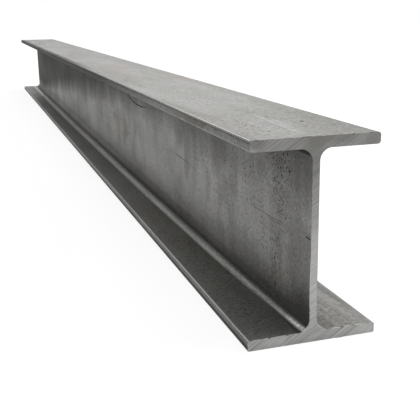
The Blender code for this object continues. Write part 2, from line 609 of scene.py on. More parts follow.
# one slanting bite in the rolled lip of the top flange
def addNotch(bm, x, side, width, strength):
    face = side * (section["halfWidth"] - section["tipSetback"]["topLeft" if side < 0 else "topRight"])
    drop = notches["lower"] - notches["upper"]
    upper = Vector((x, face, section["depth"] - notches["upper"]))
    lower = Vector((x - math.tan(math.radians(notches["lean"])) * drop, face, section["depth"] - notches["lower"]))
    along = (lower - upper).normalized()
    out = Vector((0, side, 0))
    across = out.cross(along)
    half = width / 2
    deep = notches["depth"] * strength
    rows = []
    for place, share in ((upper - along * 0.2 * mm, 0.25), ((upper + lower) / 2, 1.0), (lower, 0.5)):
        sunk = deep * (0.4 + 0.6 * share) + (0.25 * mm if share == 1.0 else 0.0)
        rows.append((place + across * half * share + out * 0.2 * mm,
                     place - across * half * share + out * 0.2 * mm, place - out * sunk))
    addTube(bm, rows)


def addNotches(bm, draw):
    back = 0.0
    while back < notches["last"]:
        pitch = notches["pitch"] + notches["spread"] * back
        back += pitch
        width = pitch * notches["share"]
        addNotch(bm, nearEnd - back, -1, width, draw.uniform(0.75, 1.15))
        if draw.random() < 0.06:
            addNotch(bm, nearEnd - back, 1, width, 0.4 * draw.uniform(0.4, 1.0))


def scatterPits(bm, draw):
    taken = {}

    def isFree(face, back, level, size):
        for otherBack, otherLevel, otherSize in taken.setdefault(face, []):
            if math.dist((back, level), (otherBack, otherLevel)) < (size + otherSize) * pits["gap"]:
                return False
        taken[face].append((back, level, size))
        return True

    for face, back, level, length, width, depth in singlePits:
        if isFree(face, back, level, max(length, width)):
            addPit(bm, draw, face, back, level, length, width, depth)
    for face, back, level, spreadBack, spreadLevel, count, small, large in pitFields:
        for _ in range(count):
            size = small + (large - small) * draw.random() ** pits["lean"]
            b = draw.gauss(back, spreadBack * pits["spread"])
            v = draw.gauss(level, spreadLevel * pits["spread"])
            stretch = draw.uniform(0.7, 1.6) * (1.25 if face == "webLeft" else 1.0)
            inside = (abs(b - back) < spreadBack * pits["reachBack"]
                      and abs(v - level) < spreadLevel * pits["reachLevel"] and (b > 3 or face == "sawn"))
            if inside and isFree(face, b, v, size * max(1, stretch)):
                addPit(bm, draw, face, b, v, size, size * stretch, draw.uniform(0.5, 0.85) * size)
    for face, (count, low, high) in loosePits.items():
        for _ in range(count):
            b = draw.uniform(*pits["looseBack"])
            v = draw.uniform(low, high)
            size = draw.uniform(*pits["looseSize"])
            if isFree(face, b, v, size * 1.3):
                addPit(bm, draw, face, b, v, size, size * draw.uniform(0.8, 1.5), 0.4 * size)


# cuts what a function fills in out of the beam, and leaves the finish on the cut faces
def cutAway(name, finish, fill, *rows):
    bm = bmesh.new()
    fill(bm, random.Random(seeds[name]), *rows)
    cutter = addMesh(name, bm)
    cutter.data.materials.append(finish)
    cut = beam.modifiers.new(name, "BOOLEAN")
    cut.operation = "DIFFERENCE"
    cut.solver = "MANIFOLD"
    cut.material_mode = "TRANSFER"
    cut.object = cutter
    graph = bpy.context.evaluated_depsgraph_get()
    result = bpy.data.meshes.new_from_object(beam.evaluated_get(graph))
    beam.modifiers.clear()
    old = beam.data
    beam.data = result
    bpy.data.meshes.remove(old)
    bpy.data.objects.remove(cutter)
    print(name, "cut:", len(result.polygons), "faces")


# helpers for shader nodes, which all add to the node tree that is open

tree = None


def openTree(opened):
    global tree
    tree = opened


def plug(socket, value):
    if isinstance(value, bpy.types.NodeSocket):
        tree.links.new(value, socket)
    elif value is not None:
        socket.default_value = value


def addNode(kind, inputs, **settings):
    node = tree.nodes.new("ShaderNode" + kind)
    for name, value in settings.items():
        setattr(node, name, value)
    for label, value in inputs.items():
        plug(node.inputs[label], value)
    return node


def sums(operation, *values, clamp=False):
    return addNode("Math", dict(enumerate(values)), operation=operation, use_clamp=clamp).outputs[0]


def plus(first, second):
    return sums("ADD", first, second)


def minus(first, second):
    return sums("SUBTRACT", first, second)


def times(whole, *masks):
    for mask in masks:
        whole = sums("MULTIPLY", whole, mask)
    return whole


def most(whole, *masks):
    for mask in masks:
        whole = sums("MAXIMUM", whole, mask)
    return whole


# a start with each row's mask times its share added to it
def addUp(start, *rows, clamp=False):
    for index, (mask, share) in enumerate(rows):
        start = sums("MULTIPLY_ADD", mask, share, start, clamp=clamp and index == len(rows) - 1)
    return start


def vectorSums(operation, *values):
    out = "Value" if operation in ("LENGTH", "DOT_PRODUCT") else "Vector"
    return addNode("VectorMath", dict(enumerate(values)), operation=operation).outputs[out]


def scaleVector(vector, scale):
    return addNode("VectorMath", {0: vector, "Scale": scale}, operation="SCALE").outputs[0]


def ramp(value, low, high, toLow=0.0, toHigh=1.0, kind="SMOOTHSTEP"):
    return addNode("MapRange", {"Value": value, "From Min": low, "From Max": high, "To Min": toLow, "To Max": toHigh},
                   interpolation_type=kind).outputs[0]


# a level along one axis, from its first value through the gain of each leg
def levelCurve(value, first, legs):
    node = addNode("FloatCurve", dict(Value=value))
    node.mapping.use_clip = False
    node.mapping.extend = "HORIZONTAL"
    points = node.mapping.curves[0].points
    level = first
    points[0].location = (0.0, first)
    for index, (reach, gain) in enumerate(legs):
        level += gain
        if index == 0:
            points[1].location = (reach, level)
        else:
            points.new(reach, level)
    for point in points:
        point.handle_type = "VECTOR"
    node.mapping.update()
    return node.outputs["Value"]


# noise over a place, which may first be drawn out along an axis
def noiseOf(vector, scale=1.0, detail=2.0, roughness=0.5, distortion=0.0, stretch=None):
    if stretch is not None:
        vector = vectorSums("MULTIPLY", vector, stretch)
    return addNode("TexNoise", dict(Vector=vector, Scale=scale, Detail=detail, Roughness=roughness,
                                    Distortion=distortion)).outputs["Fac"]


def mixColour(share, first, second, blend="MIX"):
    return addNode("Mix", {0: share, 6: first, 7: second}, data_type="RGBA", blend_type=blend).outputs[2]


# a mask as a grey that lies between two levels, to multiply a colour by
def brightness(mask, low, high):
    level = ramp(mask, 0.0, 1.0, low, high, "LINEAR")
    return addNode("CombineColor", {0: level, 1: level, 2: level}).outputs[0]


def splitPlace(vector):
    return addNode("SeparateXYZ", {0: vector}).outputs


def joinPlace(*parts):
    return addNode("CombineXYZ", dict(enumerate(parts))).outputs[0]


# opens a group, whose inputs come with their default values and whose outputs are all single values
def newGroup(name, inputs, *outputs):
    openTree(bpy.data.node_groups.new(name, "ShaderNodeTree"))
    for label, value in inputs.items():
        kind = "NodeSocketFloat" if isinstance(value, float) else "NodeSocketVector"
        socket = tree.interface.new_socket(name=label, in_out="INPUT", socket_type=kind)
        if value is not None:
            socket.default_value = value
    for label in outputs:
        tree.interface.new_socket(name=label, in_out="OUTPUT", socket_type="NodeSocketFloat")
    given = tree.nodes.new("NodeGroupInput").outputs
    return [given[label] for label in inputs], tree.nodes.new("NodeGroupOutput").inputs


def useGroup(name, place, **values):
    return addNode("Group", dict(Place=place, **values), node_tree=bpy.data.node_groups[name], label=name).outputs


# effects shared by several materials


# soft clouds, drawn out by the stretch (cycles per metre along each axis)
def makeCloudMottle():
    (place, stretch, detail, low, high), made = newGroup("cloudMottle", dict(
        Place=None, Stretch=(10.0, 10.0, 10.0), Detail=4.0, Low=0.35, High=0.65), "Mask")
    plug(made["Mask"], ramp(noiseOf(place, 1.0, detail, 0.55, 0.3, stretch), low, high))


streakSpread = 0.3    # metres over which the streaks on the web double in width


# dull and bright streaks down the web, broad ones and fine ones together
def makeDownStreak():
    (place, broad, fine, length), made = newGroup("downStreak", dict(
        Place=None, Broad=28.0, Fine=110.0, Length=6.0), "Mask", "Fine Mask")
    x, y, z = splitPlace(place)
    back = minus(nearEnd, addUp(x, (z, 0.12)))
    # a logarithm makes the streaks broader away from the near end
    lean = times(sums("LOGARITHM", addUp(1.2, (back, 1 / streakSpread)), math.e), streakSpread)
    for label, rate, detail, low, high in (("Mask", broad, 3.0, 0.32, 0.68), ("Fine Mask", fine, 2.0, 0.35, 0.65)):
        spot = joinPlace(times(lean, rate), times(y, 9.0), times(z, length))
        plug(made[label], ramp(noiseOf(spot, 1.0, detail, 0.6, 0.25), low, high))


# small dark specks, more of them where the density is high
def makePitSpeck():
    (place, rate, size, density), made = newGroup("pitSpeck", dict(
        Place=None, Rate=400.0, Size=0.25, Density=0.3), "Mask", "Height")
    warp = addNode("TexNoise", dict(Vector=place, Scale=times(rate, 1.7))).outputs["Color"]
    spot = vectorSums("ADD", place, scaleVector(warp, 0.0012))
    cells = addNode("TexVoronoi", dict(Vector=spot, Scale=rate), feature="F1").outputs
    lot = splitPlace(cells["Color"])
    size = times(size, addUp(0.45, (lot[1], 0.9)))
    mask = times(ramp(cells["Distance"], size, times(size, 0.5)), sums("LESS_THAN", lot[0], density))
    plug(made["Mask"], mask)
    plug(made["Height"], times(mask, -1.0))


# the worn outer edges of the flanges with painted highlights on them, painted shade in the rolled hollow under their
# upper edges and in the lip's slanting bites, and painted highlights on the ridges between the bites
def makeEdgeWearAndLight():
    (place, reach, breaks), made = newGroup("edgeWearAndLight", dict(
        Place=None, Reach=0.0012, Breaks=60.0), "Upper", "Lower", "Hollow Shade", "Bite Shade", "Ridge Highlight")
    x, y, z = splitPlace(place)
    back = minus(nearEnd, x)
    setback = ramp(z, 0.06, 0.09, 0.0003, 0.0012)
    edge = minus(minus(section["halfWidth"], setback), sums("ABSOLUTE", y))
    breakUp = noiseOf(place, breaks, 3.0, stretch=(1.0, 0.3, 0.3))
    depth = section["depth"]
    flange = section["flange"]

    def nearLine(level):
        away = minus(z, level)
        return ramp(sums("SQRT", plus(times(edge, edge), times(away, away))), reach, times(reach, 0.45))

    drop = minus(depth, z)
    crest = times(ramp(drop, 0.0005, 0.0001), ramp(edge, reach, times(reach, 0.6)))
    upper = most(crest, nearLine(flange))
    lower = most(nearLine(depth - flange), nearLine(0.0))
    onFoot = ramp(z, 0.09, 0.06, 0.0, ramp(back, 0.25, 0.70, 1.0, 0.35))
    fading = most(ramp(back, 0.15, 0.32, 1.0, 0.10), onFoot)
    rightSide = ramp(y, 0.0, 0.01, 1.0, ramp(back, 0.04, 0.20, 0.15, 1.0))
    # worn upper edges carrying a painted highlight, fading away from the near end on the top flange
    plug(made["Upper"], times(upper, fading, rightSide, ramp(breakUp, 0.22, 0.42, 0.55, 1.0)))
    # the lower edges, lightened as a painted highlight along the worn arris
    onTip = ramp(edge, 0.0014, 0.0010)
    rim = times(ramp(drop, 0.0066, 0.0072), ramp(drop, 0.0080, 0.0074), onTip, ramp(back, 0.45, 0.18, 0.05, 0.65))
    plug(made["Lower"], times(most(lower, rim), ramp(breakUp, 0.30, 0.55, 0.3, 1.0)))
    uneven = ramp(breakUp, 0.25, 0.6, 0.55, 1.0)
    # painted shade in the rolled hollow under each upper edge
    hollowShades = []
    for face, start, full, fadeFrom, gone, share in ((depth, 0.0015, 0.0019, 0.0022, 0.0027, 1.0),
                                                     (flange, 0.0009, 0.0013, 0.0018, 0.0024, 0.4)):
        below = minus(face, z)
        hollowShades.append(times(ramp(below, start, full, 0.0, share), ramp(below, gone, fadeFrom)))
    plug(made["Hollow Shade"], times(most(*hollowShades), onTip, uneven))
    # painted shade in the slanting bites of the rolled lip and painted highlights on the ridges between them, in step
    # with the notches that are cut there
    lean = times(minus(drop, notches["upper"]), math.tan(math.radians(notches["lean"])))
    steps = sums("LOGARITHM", addUp(1.0, (minus(back, lean), notches["spread"] / notches["pitch"])), math.e)
    wave = sums("COSINE", times(steps, 2 * math.pi / notches["spread"]))
    band = times(ramp(drop, 0.0005, 0.0010), ramp(drop, 0.0026, 0.0020), onTip, ramp(back, 0.95, 0.5), uneven)
    plug(made["Bite Shade"], times(band, ramp(wave, 0.0, 0.7)))
    plug(made["Ridge Highlight"], times(band, ramp(wave, -0.2, -0.8)))


# painted shade in the channels: under the top flange, low on the web and over the foot, with less of it on the right,
# lit side;
# painted shadow in the corner under the top flange, painted shade far along the beam, and a painted highlight where
# the root runs into the foot
def makeChannelShadeAndHighlight():
    (place, webLow, webHigh, footShare, tipShare, rightShare), made = newGroup("channelShadeAndHighlight", {
        "Place": None, "Web Low": 0.8, "Web High": 1.0, "Foot": 0.45, "Tips": 1.0, "Right Side": 0.35},
        "Painted Shade", "Root Highlight", "Swell", "Deep Shade")
    x, y, z = splitPlace(place)
    wide = sums("ABSOLUTE", y)
    back = minus(nearEnd, x)
    uneven = noiseOf(place, detail=3.0, stretch=(14.0, 40.0, 20.0))
    shifted = addUp(z, (minus(uneven, 0.5), 0.03))
    runs = noiseOf(place, detail=3.0, stretch=(34.0, 9.0, 3.0))
    streaked = addUp(z, (minus(runs, 0.5), 0.035))

    # a level that changes away from the near end, leg by leg
    def drift(atEnd, *legs):
        return levelCurve(back, atEnd, legs)

    onWeb = times(ramp(wide, 0.0125, 0.0115), ramp(z, 0.1500, 0.1450))
    # painted shade low on the web, with a painted dark line down the upper root
    low = times(ramp(shifted, 0.0455, 0.0130), ramp(back, 0.21, 0.03, 0.32, 1.0), webLow)
    # the painted highlight along the root starts, peaks and ends farther out away from the near end
    starts = drift(0.0042, (0.165, 0.0021), (0.46, 0.0026), (1.1, 0.0028))
    centre = drift(0.0067, (0.04, 0.0018), (0.165, 0.0042), (0.34, 0.0027), (1.06, 0.0048))
    stops = drift(0.0094, (0.04, 0.0018), (0.165, 0.0048), (0.46, 0.0052), (1.1, 0.0050))
    line = times(ramp(z, 0.0205, 0.0108, kind="LINEAR"), ramp(minus(wide, starts), 0.0016, -0.0002))
    low = times(minus(plus(low, line), times(low, line)), ramp(back, 0.35, 1.10, 1.0, 0.55))
    # painted shade high on the web under the top flange
    highStart = drift(0.090, (0.6, 0.0), (0.85, -0.012), (1.1, -0.016), (1.32, -0.013), (1.55, -0.017),
                      (1.85, -0.022))
    highFull = drift(0.127, (0.7, 0.0), (1.1, -0.019), (1.32, -0.019), (1.55, -0.023), (1.85, -0.032))
    shares = drift(0.46, (0.082, 0.0), (0.105, -0.24), (0.135, 0.0), (0.18, 0.38), (0.45, 0.02), (0.85, 0.38))
    high = times(ramp(streaked, highStart, highFull, kind="LINEAR"), shares, webHigh)
    high = most(high, ramp(back, 0.5, 0.9, 0.0, 0.10))
    web = times(most(low, high), onWeb)

    # painted shade over the foot beyond the root
    falling = ramp(wide, addUp(times(stops, 0.75), (centre, 0.25)), times(stops, 1.03))
    onFoot = times(ramp(z, 0.0112, 0.0098), ramp(z, 0.0074, 0.0082), falling)
    foot = times(onFoot, addUp(0.72, (uneven, 0.5), clamp=True), ramp(wide, 0.046, 0.018, 0.82, 1.05, "LINEAR"),
                 footShare, ramp(back, 1.85, 1.48),
                 drift(0.80, (0.12, 0.10), (0.36, 0.03), (0.55, 0.17), (1.0, 0.27)))

    # painted shade on the flange tips
    onTip = ramp(plus(wide, ramp(z, 0.06, 0.09, 0.0003, 0.0012)), 0.0490, 0.0503)
    upper = times(ramp(z, 0.142, 0.1437), ramp(z, 0.1519, 0.1512), ramp(back, 0.15, 0.62, 0.06, 1.1, "LINEAR"))
    under = ramp(z, 0.0060, 0.0026, 0.22, 1.0)
    near = times(ramp(z, 0.1421, 0.1440), ramp(z, 0.1512, 0.1503), ramp(back, 0.30, 0.20, 0.0, 0.28),
                 ramp(uneven, 0.3, 0.6, 0.5, 1.0))
    tips = times(onTip, most(upper, under, near), tipShare)

    # painted shadow in the corner under the top flange, darkest near the end
    corner = times(ramp(z, 0.1378, 0.1392), ramp(z, 0.1450, 0.1442), ramp(wide, 0.0150, 0.0085),
                   most(ramp(back, 0.10, 0.03, 0.2, 1.0), ramp(back, 0.7, 1.3, 0.2, 0.5)),
                   ramp(y, -0.001, 0.001, 1.0, 0.3))
    # painted shade on the far flange tips and far along the web
    farTipShade = times(onTip, ramp(z, 0.142, 0.1437), ramp(z, 0.1510, 0.1500), ramp(back, 0.55, 1.0, 0.0, 0.3))
    deep = times(onWeb, ramp(z, 0.055, 0.115), ramp(back, 0.75, 1.25, 0.0, 0.55))
    plug(made["Deep Shade"], most(corner, farTipShade, deep))
    # painted shade along the far upper edge of the top flange
    topEdge = times(ramp(z, 0.1519, 0.1522), ramp(y, -0.0405, -0.0465), ramp(back, 0.6, 1.0, 0.0, 1.0))
    filmAndShade = most(most(web, foot), most(tips, topEdge))
    plug(made["Painted Shade"], times(filmAndShade, ramp(y, -0.001, 0.001, 1.0, rightShare)))

    # the painted highlight along the left root, broken up unevenly; the swell is a bump across its band
    rubbedSheen = times(ramp(wide, starts, centre), ramp(wide, plus(stops, 0.0005), centre), ramp(z, 0.0160, 0.0135),
                   drift(1.0, (0.016, 0.0), (0.036, -0.42), (0.065, 0.0), (0.18, 0.42)),
                   ramp(z, 0.0080, 0.0084), ramp(y, -0.001, 0.001, 1.0, 0.12), ramp(back, 0.30, 1.1, 1.0, 0.52))
    crest = times(plus(starts, centre), 0.5)
    plug(made["Swell"], times(ramp(wide, 0.0030, crest), ramp(wide, stops, crest, kind="LINEAR"),
                              ramp(z, 0.0080, 0.0084), ramp(z, 0.0160, 0.0135)))
    highlightBreakup = times(ramp(uneven, 0.25, 0.60, 0.75, 1.0), ramp(noiseOf(place, 420.0, 3.0), 0.32, 0.52, 0.62, 1.0))
    plug(made["Root Highlight"], times(rubbedSheen, highlightBreakup))


# the blade's curved marks over a sawn face
def makeSawSweep():
    (place, rate, length), made = newGroup("sawSweep", dict(
        Place=None, Rate=900.0, Length=14.0), "Mask", "Coarse", "Height")
    x, y, z = splitPlace(place)
    dy = minus(y, sawCentre[0])
    dz = minus(z, sawCentre[1])
    reach = sums("SQRT", plus(times(dy, dy), times(dz, dz)))
    turn = times(sums("ARCTAN2", dz, dy), saw["radius"])

    def sweep(rate, detail):
        return noiseOf(joinPlace(times(reach, rate), times(turn, length), times(x, 40.0)), 1.0, detail, 0.6)

    fine = sweep(rate, 3.0)
    coarse = sweep(times(rate, 0.3), 2.0)
    plug(made["Mask"], ramp(fine, 0.34, 0.66))
    plug(made["Coarse"], ramp(coarse, 0.36, 0.64))
    plug(made["Height"], addUp(fine, (coarse, 1.4)))


# a scratch between two places, faded at its ends and broken along its length
def makeLineMark():
    (place, start, end, width, breaks), made = newGroup("lineMark", dict(
        Place=None, From=None, To=None, Width=0.0005, Breaks=120.0), "Mask")
    run = vectorSums("SUBTRACT", end, start)
    here = vectorSums("SUBTRACT", place, start)
    share = sums("DIVIDE", vectorSums("DOT_PRODUCT", here, run), vectorSums("DOT_PRODUCT", run, run), clamp=True)
    away = vectorSums("LENGTH", vectorSums("SUBTRACT", here, scaleVector(run, share)))
    ends = times(ramp(share, 0.0, 0.25), ramp(share, 1.0, 0.75))
    broken = ramp(noiseOf(place, breaks, 2.0), 0.3, 0.55)
    plug(made["Mask"], times(ramp(away, width, times(width, 0.3)), ends, broken))


# a stain with a ragged outline round one place
def makePatchMask():
    (place, centre, reach, ragged, grain), made = newGroup("patchMask", dict(
        Place=None, Centre=None, Reach=(0.05, 0.05, 0.05), Ragged=0.5, Grain=60.0), "Mask")
    away = vectorSums("LENGTH", vectorSums("DIVIDE", vectorSums("SUBTRACT", place, centre), reach))
    rough = times(minus(noiseOf(place, grain, 4.0), 0.5), ragged, 2.0)
    plug(made["Mask"], ramp(plus(away, rough), 1.0, 0.35))


# the fine tooth of the metal: even grain and faint drawn lines along the beam
def makeFineGrain():
    (place, grain, lines), made = newGroup("fineGrain", dict(
        Place=None, Grain=900.0, Lines=500.0), "Mask", "Height")
    both = addUp(noiseOf(place, grain, 3.0, 0.6), (noiseOf(place, lines, stretch=(0.03, 1.0, 1.0)), 0.6))
    plug(made["Mask"], ramp(both, 0.55, 1.05))
    plug(made["Height"], both)


for makeGroup in (makeCloudMottle, makeDownStreak, makePitSpeck, makeEdgeWearAndLight,
                  makeChannelShadeAndHighlight, makeSawSweep, makeLineMark, makePatchMask, makeFineGrain):
    makeGroup()
print("node groups:", len(bpy.data.node_groups))


# what each surface is made of

metal = dict(
    bare=(0.36, 0.3558, 0.336, 1),
    pale=(0.47, 0.4655, 0.452, 1),
    cool=(0.45, 0.449, 0.455, 1),
    dull=(0.22, 0.217, 0.204, 1),
    oxide=(0.040, 0.038, 0.034, 1),
    # filmAndShade and sootAndShade are dark films that also paint shade, and rubbedSheen is a worn sheen that also
    # paints highlights
    filmAndShade=(0.086, 0.084, 0.071, 1),
    olive=(0.15, 0.145, 0.115, 1),
    sootAndShade=(0.012, 0.012, 0.011, 1),
    rubbedSheen=(0.93, 0.925, 0.905, 1),
    brown=(0.27, 0.225, 0.185, 1),
    pink=(0.40, 0.345, 0.32, 1),
    rust=(0.16, 0.075, 0.04, 1),
    bright=(0.78, 0.78, 0.77, 1),
    sawn=(0.41, 0.4045, 0.396, 1),
)


# opens a new material, and gives its shader's inputs and the place on the beam
def newMaterial(name):
    material = bpy.data.materials.new(name)
    material.use_nodes = True
    openTree(material.node_tree)
    return material, tree.nodes["Principled BSDF"].inputs, addNode("TexCoord", {}).outputs["Object"]


def addBump(shader, height, distance, strength):
    bump = addNode("Bump", dict(Strength=strength, Distance=distance, Height=height))
    plug(shader["Normal"], bump.outputs[0])


def backFrom(back, across, up):
    return (nearEnd - back * mm, across * mm, up * mm)


def patch(place, centre, reach, ragged, grain=45.0):
    return useGroup("patchMask", place, Centre=backFrom(*centre), Reach=tuple(size * mm for size in reach),
                    Ragged=ragged, Grain=grain)["Mask"]


def cloudsOver(place, stretch, detail=3.0, low=0.35, high=0.65):
    return useGroup("cloudMottle", place, Stretch=stretch, Detail=detail, Low=low, High=high)["Mask"]


# lays each row's tint over a colour: mask, its share and the tint
def paint(colour, *rows):
    for mask, share, tint in rows:
        colour = mixColour(mask if share is None else times(mask, share), colour, metal[tint])
    return colour


# lays stains and patches of painted light and shade over a colour
def paintStainsAndLight(colour, place, rows):
    for centre, reach, tint, strength, ragged in rows:
        colour = paint(colour, (patch(place, centre, reach, ragged), strength, tint))
    return colour


# stains and patches, some of which paint light and shade: centre (mm back from the near end, across, up), reach in
# mm, colour, strength, raggedness
stainsAndLight = [
    ((725, -3, 74), (28, 8, 12), "olive", 0.45, 0.8),
    ((640, -3, 68), (24, 8, 17), "brown", 0.85, 0.7),
    ((648, -3, 54), (34, 8, 14), "olive", 0.35, 0.8),
    ((690, -8, 152), (110, 26, 5), "pink", 0.65, 0.6),
    ((1000, -22, 152), (120, 16, 5), "pink", 0.4, 0.8),
    ((820, -44, 152), (200, 7, 5), "olive", 0.30, 0.8),
    ((560, -20, 152), (70, 14, 5), "pink", 0.35, 0.7),
    ((470, 38, 152), (160, 12, 5), "pink", 0.5, 0.6),
    ((130, -34, 152), (60, 12, 5), "brown", 0.25, 0.8),
    ((70, -36, 152), (40, 10, 5), "pink", 0.35, 0.8),
    ((64, -3, 23), (3.0, 3, 4.0), "rust", 0.9, 0.6),
    ((66, -3, 34), (8, 3, 14), "brown", 0.6, 0.9),
    ((56, -3, 126), (14, 6, 18), "dull", 0.35, 0.8),
    ((60, -3, 80), (22, 6, 40), "dull", 0.4, 0.9),
    ((163, -3, 84), (22, 6, 20), "dull", 0.75, 0.6),
    ((185, -3, 108), (22, 6, 14), "dull", 0.5, 0.6),
    ((105, -3, 96), (26, 6, 26), "pale", 0.2, 0.5),
    ((33, -3, 50), (18, 6, 26), "dull", 0.6, 0.5),
    ((90, -3, 56), (30, 6, 12), "pale", 0.5, 0.6),
    ((400, -3, 64), (36, 6, 24), "dull", 0.35, 0.8),
    ((314, -3, 78), (14, 6, 32), "dull", 0.70, 0.6),
    ((345, -3, 99), (18, 6, 16), "dull", 0.60, 0.6),
    ((350, -3, 64), (15, 6, 16), "pale", 0.60, 0.6),
    ((320, -3, 36), (22, 6, 9), "pale", 0.60, 0.6),
    ((188, -3, 80), (9, 6, 12), "dull", 0.50, 0.6),
    ((188, -3, 48), (14, 6, 14), "pale", 0.70, 0.5),
    ((157, -3, 100), (18, 6, 15), "dull", 0.60, 0.6),
    ((146, -3, 54), (12, 6, 9), "pale", 0.60, 0.6),
    ((93, -3, 112), (14, 6, 11), "dull", 0.50, 0.6),
    ((238, -3, 72), (13, 6, 30), "dull", 0.45, 0.7),
    ((273, -3, 106), (14, 6, 20), "pale", 0.5, 0.7),
    ((553, -3, 48), (34, 6, 34), "pale", 0.9, 0.6),
    ((526, -3, 106), (20, 6, 18), "dull", 0.35, 0.7),
    ((690, -3, 98), (50, 6, 16), "pale", 0.7, 0.7),
    ((230, -3, 104), (90, 6, 26), "dull", 0.3, 0.8),
    # painted shade on the foot beside the right root near the end
    ((12, 13, 9.5), (22, 8, 6), "dull", 0.8, 0.5),
    ((4, 48, 9), (8, 6, 5), "pale", 0.6, 0.5),
    ((60, 50, 152), (130, 8, 5), "dull", 0.5, 0.4),
    # dull patches on the web near the end, partly painted shade
    ((16, -3, 56), (30, 6, 46), "dull", 0.60, 0.5),
    ((40, -3, 89), (26, 6, 20), "dull", 0.50, 0.6),
    ((1322, -3, 40), (90, 6, 22), "pale", 0.70, 0.4),
    ((1060, -3, 50), (110, 6, 20), "pale", 0.40, 0.5),
    ((431, -3, 82), (46, 6, 34), "dull", 0.32, 0.6),
    ((240, -22, 152), (260, 22, 5), "pale", 0.45, 0.4),
    ((40, 46, 9), (60, 4, 4), "dull", 0.45, 0.4),
    ((128, -3, 68), (34, 6, 34), "pale", 0.40, 0.6),
    ((262, -3, 66), (22, 6, 24), "pale", 0.55, 0.6),
    ((60, -10, 152), (100, 16, 5), "pale", 0.5, 0.5),
    # painted shadow under the top flange near the end
    ((30, -3, 142), (90, 8, 12), "filmAndShade", 0.5, 0.5),
    ((67, 19.5, 152), (4.5, 2.2, 3), "dull", 0.8, 0.5),
    ((28, 42, 152), (120, 32, 5), "dull", 0.55, 0.35),
    ((10, -50, 152), (60, 14, 5), "dull", 0.25, 0.5),
    ((1500, 20, 152), (260, 20, 5), "pink", 0.4, 0.7),
    ((1100, -10, 152), (130, 20, 5), "brown", 0.3, 0.8),
    ((500, 4, 70), (140, 6, 40), "brown", 0.35, 0.8),
    ((1400, 4, 90), (120, 6, 34), "brown", 0.4, 0.8),
    ((120, -50, 148), (70, 4, 4), "olive", 0.70, 1.0),
    ((190, -50, 147), (40, 4, 4), "olive", 0.3, 1.0),
    ((66, -3, 30), (5, 4, 12), "pink", 0.5, 0.9),
    ((300, -34, 8.7), (160, 16, 3), "brown", 0.12, 0.8),
    ((1200, 0, 152), (800, 70, 6), "cool", 0.35, 0.4),
    ((215, -30, 152), (150, 15, 5), "pale", 0.8, 0.4),
    ((330, -42, 152), (110, 12, 5), "pale", 0.6, 0.4),
    ((120, -3, 58), (26, 6, 20), "pale", 0.6, 0.5),
    ((96, -3, 40), (26, 6, 10), "pale", 0.4, 0.5),
    ((345, -44, 152), (130, 9, 5), "pale", 0.5, 0.5),
    ((420, 20, 152), (420, 9, 5), "pale", 0.3, 0.6),
    ((8, -3, 34), (12, 6, 24), "dull", 0.8, 0.4),
    ((108, -3, 66), (20, 6, 20), "pale", 0.5, 0.5),
    ((214, -3, 68), (9, 6, 18), "pale", 0.6, 0.5),
    ((600, -3, 66), (12, 6, 30), "pale", 0.4, 0.5),
]

# where the small pits crowd together: centre and reach as above, how dense
pitZones = [
    ((52, -3, 122), (26, 6, 24), 0.55), ((56, -3, 96), (18, 6, 30), 0.40), ((66, -3, 44), (13, 6, 34), 0.45),
    ((150, -3, 92), (110, 6, 48), 0.10), ((70, -26, 152), (60, 18, 4), 0.22), ((60, -32, 8.7), (80, 18, 3), 0.42),
    ((260, -32, 8.7), (260, 18, 3), 0.25),
    ((30, 24, 8.7), (60, 20, 5), 0.50), ((105, -50, 148), (80, 4, 5), 0.15),
]

# stains on the sawn end, as above; the dull rows high up and the bright rows low down also paint the end darker at
# the top and lighter at the bottom, as painted shade and light
sawnStainsAndLight = [
    ((0, 0, 144), (30, 75, 24), "dull", 0.46, 0.4),
    ((0, -2, 138), (20, 18, 34), "dull", 0.58, 0.5),
    ((0, 46, 147), (20, 12, 12), "dull", 0.50, 0.5),
    ((0, 0, 149), (20, 10, 7), "dull", 0.50, 0.4),
    ((0, 44, 5), (20, 12, 8), "bright", 0.30, 0.4),
    ((0, -30, 4), (20, 12, 8), "bright", 0.25, 0.4),
    ((0, -45, 150), (20, 12, 6), "dull", 0.75, 0.5),
    ((0, 4, 0), (20, 60, 5), "dull", 0.25, 0.5),
    ((0, 19, 150), (20, 17, 6), "dull", 0.55, 0.5),
    ((0, 0, 52), (20, 14, 48), "bright", 0.46, 0.35),
    ((0, 20, 4), (20, 50, 16), "bright", 0.08, 0.4),
]

# scratches drawn in the finish: two places as above, width in mm, lighter or darker
fineLines = [
    ((741, -3, 79), (699, -3, 75), 1.9, "dull"),
    ((702, -3, 77), (626, -3, 74), 2.0, "dull"),
    ((741, -3, 81), (731, -3, 63), 4.0, "dull"),
    ((655, -3, 51), (606, -3, 66), 3.0, "dull"),
    ((564, -3, 69), (497, -3, 68.4), 0.9, "dull"),
    ((232, -3, 60), (212, -3, 46), 0.5, "bright"),
    ((360, -3, 45), (318, -3, 26), 0.7, "bright"),
    ((150, -3, 44), (118, -3, 34), 0.6, "bright"),
    ((130, -0.6, 152.3), (6, -4.6, 152.3), 2.1, "bright"),
    ((95, 3, 152.3), (30, 1, 152.3), 1.0, "bright"),
    ((110, 30, 8.7), (-4, 47, 8.7), 7.0, "pale"),
    ((70, 20, 8.7), (8, 33, 8.7), 2.5, "pale"),
    ((140, 38, 8.7), (30, 46, 8.7), 2.0, "dull"),
    ((300, 12, 152), (180, 16, 152), 0.5, "dull"),
    ((640, 4, 60), (560, 4, 74), 0.6, "bright"),
]


